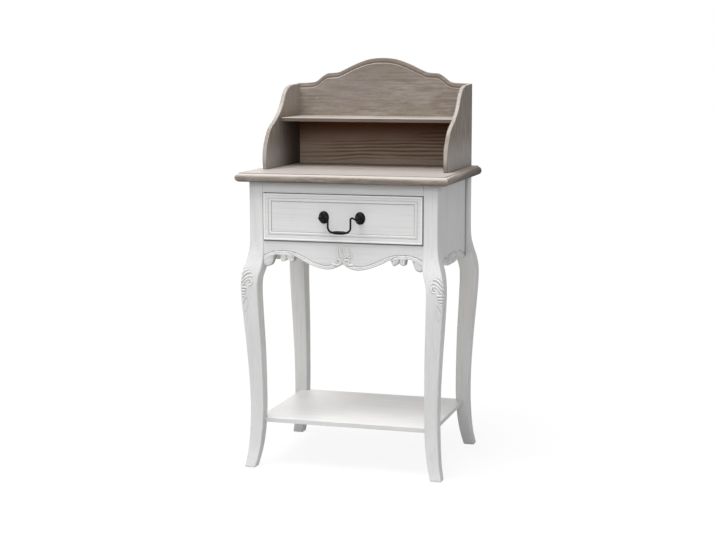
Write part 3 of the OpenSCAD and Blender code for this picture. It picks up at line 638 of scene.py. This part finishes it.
# inset from the outermost line, height over the underside, and the mark: above 0 rubbed pale with a painted
# highlight, below 0 darkened with painted shade
nose_r = 8.7
nose = [(18, 0, -0.6)]
nose += [(nose_r - nose_r * math.cos(a), nose_r + nose_r * math.sin(a), math.sin(a) + 0.1)
         for a in (math.radians(-90 + 12 * k) for k in range(15))]
nose += [(7, 17.25, -0.6), (7, 18.5, -0.5), (7.15, 18.85, 0.3), (7.5, board_thick, 0.3),
         (12, board_thick, 0)]
bm = tube([board_ring(inset, under_top + rise) for inset, rise, wear_and_shading in nose], [row[2] for row in nose])
# painted shade: the round is darker along both sides than along the front
layer = bm.verts.layers.float["worn"]
for vert in bm.verts:
    if board_half - abs(vert.co.x) < min(6.5, vert.co.y - board_front):
        vert[layer] -= 2.1
piece(bm, "top_board_nosed", ["top_board"], "case", wash_top, 40)


# ---------------------------------------------------------------- gallery
# Two shaped cheeks, a crested back board with a routed rim and a small shelf housed between
# them, all in the same washed wood and screwed up from under the top.

def cheek_shade(wire, tone, ring):
    """Darker high up on the outside, paler at the foot, and darkened inside with painted shade towards the
    back of the recess.
    """
    deep, high = wire.where(1), wire.where(2)
    outward = wire.where(0) * wire.node("SeparateXYZ", None, {0: wire.node("TexCoord", output=1)})
    outside, inside = outward.between(0.1, 0.15), (0 - outward).between(0.1, 0.15)
    tone = wire.mix(high.between(0.70, 0.80) * outside * 0.35, tone, rgb(122, 114, 108))
    tone = wire.mix((0.70 - high).between(0, 0.06) * 0.6, tone, rgb(190, 185, 181))
    tone = wire.mix(inside * high.between(0.72, 0.76) * 0.5, tone, rgb(186, 174, 168))
    # painted shade inside, below the small shelf and deeper towards the back
    inside = inside * (0.732 - high).between(0, 0.015) * deep.between(-0.05, 0.13)
    return wire.mix(inside * 0.9, tone, rgb(58, 44, 34))


def back_shade(wire, tone, ring):
    """Greyer towards the crest, and brown in front below the small shelf, with painted shade darkening it up
    towards the shelf.
    """
    high = wire.where(2)
    low = wire.mix(ring * 0.8, wire.mix(0.6, tone, rgb(196, 170, 150)), rgb(112, 84, 64))
    # painted shade under the small shelf
    low = wire.mix(high.between(0.65, 0.715), low, rgb(102, 63, 38))
    tone = wire.mix(0.25 + 0.4 * high.between(0.78, 0.85), tone, rgb(119, 109, 99))
    inside = (back / 1000 - 0.008 - wire.where(1)).between(0, 0.001)
    return wire.mix(inside * (0.7265 - high).between(0, 0.005), tone, low)


wash_z = new_material("grey_wood_upright", washed(2, "Y", cheek_shade))
wash_back = new_material("grey_wood_back", washed(0, "Z", back_shade))

on_top, cheek_deep, cheek_high, cheek_thick = under_top + board_thick, 227.7, 177, 9
# share of the depth, from the back, and share of the height
cheek_edge = curve(((1, 0), (1.017, 0.12), (0.997, 0.265), (0.93, 0.4), (0.85, 0.495), (0.735, 0.565),
                    (0.6, 0.67), (0.52, 0.77), (0.46, 0.87), (0.38, 0.945), (0.27, 0.98),
                    (0.13, 0.99), (0, 1)), 7)


def cheek_wear_and_shade(place, facing, new):
    """The sawn edge is rubbed pale high up, with a painted highlight, and darkened towards its foot and on its
    rounded arrises with painted shade.
    """
    if abs(facing.x) > 0.95:
        return 0
    return 1.2 * min(1, max(0, (place.z - 630) / 70)) - (0.95 if new else 0.6)


for node, hand in (("gallery_left_cheek", -1), ("gallery_right_cheek", 1)):
    bm = bmesh.new()
    inner, rear = hand * (side_x - cheek_thick), back - 0.3
    sawn = bm.faces.new([bm.verts.new((inner, rear, on_top))] + [
        bm.verts.new((inner, rear - cheek_deep * deep, on_top + cheek_high * high))
        for deep, high in cheek_edge])
    outer = bmesh.ops.extrude_face_region(bm, geom=[sawn])["geom"]
    bmesh.ops.translate(bm, vec=(hand * cheek_thick, 0, 0),
                        verts=[v for v in outer if isinstance(v, bmesh.types.BMVert)])
    bmesh.ops.recalc_face_normals(bm, faces=bm.faces)
    piece(rounded(bm, 1.4, cheek_wear_and_shade), node + "_worn", [node], "case", wash_z)

board_end, crest_low, crest_rise = 195, 176.8, 55.2
# share of the half width, and share of the rise from the cheeks to the peak
crest_edge = curve(((0, 1), (0.07, 0.99), (0.16, 0.94), (0.25, 0.835), (0.34, 0.7), (0.43, 0.545),
                    (0.5, 0.44), (0.57, 0.41), (0.63, 0.385), (0.69, 0.26), (0.75, 0.09),
                    (0.81, 0.03), (0.9, 0.01), (1, 0)), 6)


def crest(lower, depth):
    """The outline of the back board at a depth, with its crest lowered by some millimetres."""
    right = [(side_x * x, crest_low + crest_rise * z - lower) for x, z in crest_edge if x < 0.97]
    right.append((board_end, crest_low - lower))
    outline = [(-x, z) for x, z in right[:0:-1]] + right + [(board_end, 0), (-board_end, 0)]
    return [(x, back - depth, on_top + z) for x, z in outline]


# how far below the crest, how far in front of the back, and the mark: above 0 a pale line on the step, part
# wash left in it and part painted highlight; below 0 a dark line in the corner above it, part patina and part
# painted shade
routed = [(0, 0, 0), (0, 9.5, 0), (0.3, 10.25, 0.3), (1, 10.5, 0), (6, 10.5, 0), (7.6, 10.5, -1.2),
          (9.9, 10.5, -1.4), (10.5, 10.8, -0.5), (10.5, 11.4, 0.6), (10.8, 11.85, 0.65), (12, 12, 0.5),
          (13.2, 12, 0)]
bm = tube([crest(lower, depth) for lower, depth, wear_and_shading in routed], [row[2] for row in routed])
piece(bm, "gallery_back_board_worn", ["gallery_back_board"], "case", wash_back, 30)


def shelf_wear_and_light(place, facing, new):
    """The upper front arris is rubbed pale with a painted highlight, the top is paler with a painted sheen,
    and the front below it and every face that does not look up is darkened with painted shade.
    """
    if facing.z > 0.15:
        return 1.2 if new else 0.6
    return -1


piece(softened("gallery_shelf", 1, shelf_wear_and_light), "gallery_shelf_worn", ["gallery_shelf"], "case",
      wash_x)


# ---------------------------------------------------------------- drawer
# The front is worked from one board: a bead round its edge, a flat, a groove, an ovolo and a
# sunk field. The box behind it is bare pine: lapped sides, a housed back, a grooved bottom.

def bare(axis):
    """Plain sanded pine with its grain along one axis."""
    def look(wire):
        streak = wire.noise(wire.along(axis, 9, 150), 1, 6, 0.6)
        tone = wire.mix(streak.between(0.35, 0.65), rgb(205, 172, 126), rgb(222, 194, 150))
        return {"Base Color": tone, "Roughness": 0.6}, streak, 0.0003
    return look


bare_wood = new_material("bare_wood", bare(1))
bare_across = new_material("bare_wood_across", bare(0))

face = front - 2.8
front_half, front_low, front_high, sunk = 169, 483.5, 580, 3.2

# inset at the ends, inset above and below, depth behind the bead, and the mark, above 0 dusty grey with
# painted shade, above 1 painted shadow, below 0 rubbed pale with a painted highlight: first the lapped back
# and the square edge, darkened with painted shadow in the gap round the front
moulding = [(11.1, 0, 18, 0.2), (11.1, 0, 12, 0.3), (0, 0, 12, 0.3), (0, 0, 5.4, 0.3), (0, 0, 4.2, 2),
            (0, 0, 1.6, 2)]
# then the worked face, the same inset all round
moulding += [(inset, inset, depth, dust_and_light) for inset, depth, dust_and_light in (
    (0, 1.1, 0.2), (0.3, 0.5, 0), (0.9, 0.12, -0.8), (1.6, 0, -1), (2.6, 0.03, -1), (3.3, 0.32, -1),
    (3.9, 0.9, -0.6), (4.4, 1.36, 0.4), (4.7, 1.4, 0.4), (5.5, 1.4, 0), (9.6, 1.4, 0), (10.05, 1.5, 0.2),
    (10.5, 2.25, 0.5), (10.9, 2.35, 0.5), (11.5, 2, 0.2), (12.5, 1.52, 0), (13.5, 1.18, 0),
    (14.4, 1.02, -0.3), (15.3, 1.02, -0.5), (15.9, 1.25, -0.5), (16.5, 1.95, 0), (16.9, 2.7, 0.4),
    (17.2, 3.15, 0.9), (17.6, sunk, 0.8), (18.4, sunk, 0))]


def front_ring(ends, rails, depth):
    """A rectangle of the moulding. The upper rail is a little narrower than the lower one."""
    left, low, high = ends - front_half, front_low + rails, front_high - 0.93 * rails
    return [(x, face + depth, z) for x, z in ((left, low), (-left, low), (-left, high), (left, high))]


bm = tube([front_ring(*row[:3]) for row in moulding], [row[3] for row in moulding], "hollow")
piece(bm, "drawer_front_moulded", ["drawer_front"], "drawer", paint_across, 32)


# ---------------------------------------------------------------- pull
# Blackened cast iron: two oval domes, a post through each with a cross-bored ball head, and a
# swan-neck bail with a thick grip that turns in the heads.

def blackened(wire):
    grain = wire.noise(wire.stretched(1, 1, 1), 900, 3)
    tone = wire.mix(grain.between(0.3, 0.7), rgb(10, 10, 11), rgb(21, 20, 22))
    return ({"Base Color": tone, "Roughness": 0.33 + 0.1 * grain, "Metallic": 0.5,
             "Specular IOR Level": 0.2}, grain, 0.0001)


black_iron = new_material("black_iron", blackened)
pull_z, pivot_y, field_y = 533.25, front - 19.5, face + sunk
post_x = 38.5

# share of the oval's size, and height over the field
dome = [(1, 0), (1, 0.7), (0.985, 0.95), (0.95, 1.1), (0.91, 1.05), (0.88, 1.2), (0.84, 1.75), (0.76, 2.6),
        (0.64, 3.6), (0.5, 4.4), (0.36, 4.95), (0.3, 5.15), (0.2, 5.4)]
for node, hand in (("left_rosette", -1), ("right_rosette", 1)):
    bm = tube([[(hand * post_x + 11 * size * math.cos(a), field_y - rise, pull_z + 13 * size * math.sin(a))
                for a in (math.radians(7.5 * k) for k in range(48))] for size, rise in dome])
    piece(bm, node + "_domed", [node], "drawer", black_iron, 45)

# Radii of the arm, the grip, the two bends of the neck and the lower corner, and the drop of
# the grip below the pins.
arm, grip, neck_in, neck_out, corner, drop = 2, 3.7, 3.1, 3.8, 11, 28.5
start = post_x - 5.8
neck_x = start - (neck_in + neck_out) * math.sin(math.radians(45))
neck_z = neck_in * (1 - math.cos(math.radians(45))) - neck_out * math.cos(math.radians(45))
bend = neck_x - neck_out - corner
# place in X and Z, heading in degrees, and radius, from the end of the right pin to the middle
half = [(44.3, 0, 180, 0.6), (44.3, 0, 180, 1.2), (44, 0, 180, 1.5), (start + 0.6, 0, 180, 1.5),
        (start + 0.3, 0, 180, 1.8)]
for turn in range(0, 46, 9):
    a = math.radians(turn)
    half.append((start - neck_in * math.sin(a), neck_in * (1 - math.cos(a)), 180 - turn, arm))
for turn in range(54, 181, 9):
    a = math.radians(turn)
    half.append((neck_x + neck_out * math.cos(a), neck_z + neck_out * math.sin(a), turn + 90, arm))
for turn in range(0, 91, 9):
    a = math.radians(turn)
    half.append((bend + corner * math.cos(a), corner * (1 - math.sin(a)) - drop, 270 - turn,
                 arm + 0.7 * (turn / 90) ** 2))
half += [(bend - past, -drop, 180, thick) for past, thick in ((1, 2.95), (3, 3.3), (5.4, 3.58), (8, grip))]
stations = half + [(-x, z, -turn, thick) for x, z, turn, thick in half[::-1]]


def iron_ring(x, z, turn, thick):
    """A round section of the bail, square to its heading."""
    return [(x - thick * math.cos(a) * math.sin(math.radians(turn)), pivot_y - thick * math.sin(a),
             pull_z + z + thick * math.cos(a) * math.cos(math.radians(turn)))
            for a in (math.radians(20 * k) for k in range(18))]


bm = tube([iron_ring(*station) for station in stations])
piece(bm, "bail_handle_cast", ["bail_handle"], "bail", black_iron, 60)


# ---------------------------------------------------------------- screws and nuts
# Zinc-plated steel: four screws up into the top, six into the gallery, and the pull's nuts.

def plated(wire):
    grain = wire.noise(wire.stretched(1, 1, 1), 700, 3)
    return {"Base Color": rgb(196, 198, 202), "Roughness": 0.3 + 0.1 * grain,
            "Metallic": 1.0}, grain, 0.00005


steel = new_material("steel", plated)
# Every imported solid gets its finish: those that show as they are, such as the drawer's box,
# and those behind a finer piece.
finishes = {"white_paint": paint_across, "grey_wood": wash_x, "bare_wood": bare_wood,
            "black_iron": black_iron, "steel": steel}
for part in frame["record"]["subparts"]:
    mesh = frame["nodes"][part["node"]].data
    mesh.materials.clear()
    crosswise = part["node"] in ("drawer_back", "front_bearer_rail")
    mesh.materials.append(bare_across if crosswise else finishes[part["material_slot"]])


# ---------------------------------------------------------------- floor, light and camera
# A pale studio floor in a white room, soft lamps all round with the largest overhead, and the
# photograph's view.

def shown(wire):
    """1 for what the camera sees, also as a reflection or through something, and 0 for light."""
    camera, glossy, through = (wire.node("LightPath", output=k) for k in (0, 3, 6))
    return wire.maths("ADD", camera + glossy, through, clamp=True)


def sweep_look(wire):
    seen = shown(wire)
    pale = wire.mix(seen, (0.55, 0.55, 0.55, 1), (0.95, 0.95, 0.95, 1))
    lit = wire.node("BsdfDiffuse", None, {"Color": pale})
    white = wire.node("Emission", None, {"Color": (1, 1, 1, 1), "Strength": 1.02})
    far = wire.node("VectorMath", {"operation": "LENGTH"}, {0: wire.stretched(1, 1, 1)}, 1)
    share = seen * (0.86 + 0.14 * far.between(0.5, 1.6))
    floor_shader = wire.node("MixShader", None, {0: share, 1: lit, 2: white})
    wire.node("OutputMaterial", None, {"Surface": floor_shader})


floor_mesh = bpy.data.meshes.new("floor")
bm = bmesh.new()
bmesh.ops.create_grid(bm, x_segments=1, y_segments=1, size=15)
bm.to_mesh(floor_mesh)
bm.free()
floor = bpy.data.objects.new("floor", floor_mesh)
bpy.context.scene.collection.objects.link(floor)
floor_paint = bpy.data.materials.new("floor_paint")
floor_paint.use_nodes = True
floor_paint.node_tree.nodes.clear()
sweep_look(Wire(floor_paint.node_tree))
floor_mesh.materials.append(floor_paint)

world = bpy.data.worlds.new("studio")
bpy.context.scene.world = world
world.use_nodes = True
world.node_tree.nodes.clear()
air = Wire(world.node_tree)
seen = shown(air)
room = air.node("Background", None, {"Color": (0.97, 0.98, 1, 1), "Strength": 0.36})
beyond = air.node("Background", None, {"Color": (1, 1, 1, 1), "Strength": 1.0})
air.node("OutputWorld", None, {"Surface": air.node("MixShader", None, {0: seen, 1: room, 2: beyond})})

# name, place in metres, width in metres, and watts
lamps = (("key", (0.2, -3.2, 2.0), 2.0, 24), ("overhead", (-0.5, -0.9, 3.2), 2.0, 97),
         ("fill", (2.6, -2.2, 0.9), 1.5, 7.5), ("behind", (-1.2, 2.6, 1.0), 1.6, 24))
for name, place, size, watts in lamps:
    lamp = bpy.data.lights.new(name, "AREA")
    lamp.size, lamp.energy = size, watts
    hung = bpy.data.objects.new(name, lamp)
    hung.location = place
    hung.rotation_euler = (Vector((0, 0, 0.45)) - hung.location).to_track_quat("-Z", "Y").to_euler()
    bpy.context.scene.collection.objects.link(hung)

yaw, pitch, roll = math.radians(16.62), math.radians(-8.12), math.radians(-0.11)
ahead = Vector((-math.sin(yaw) * math.cos(pitch), math.cos(yaw) * math.cos(pitch), math.sin(pitch)))
lens = bpy.data.cameras.new("view")
lens.sensor_width, lens.lens = 36, 75.606
camera = bpy.data.objects.new("view", lens)
camera.location = (0.8997, case_y / 1000 - 3.0565, 0.8596)
level = ahead.to_track_quat("-Z", "Y").to_matrix()
camera.rotation_euler = (level @ Matrix.Rotation(roll, 3, "Z")).to_euler()
bpy.context.scene.collection.objects.link(camera)
bpy.context.scene.camera = camera
bpy.context.scene.view_settings.view_transform = "Standard"
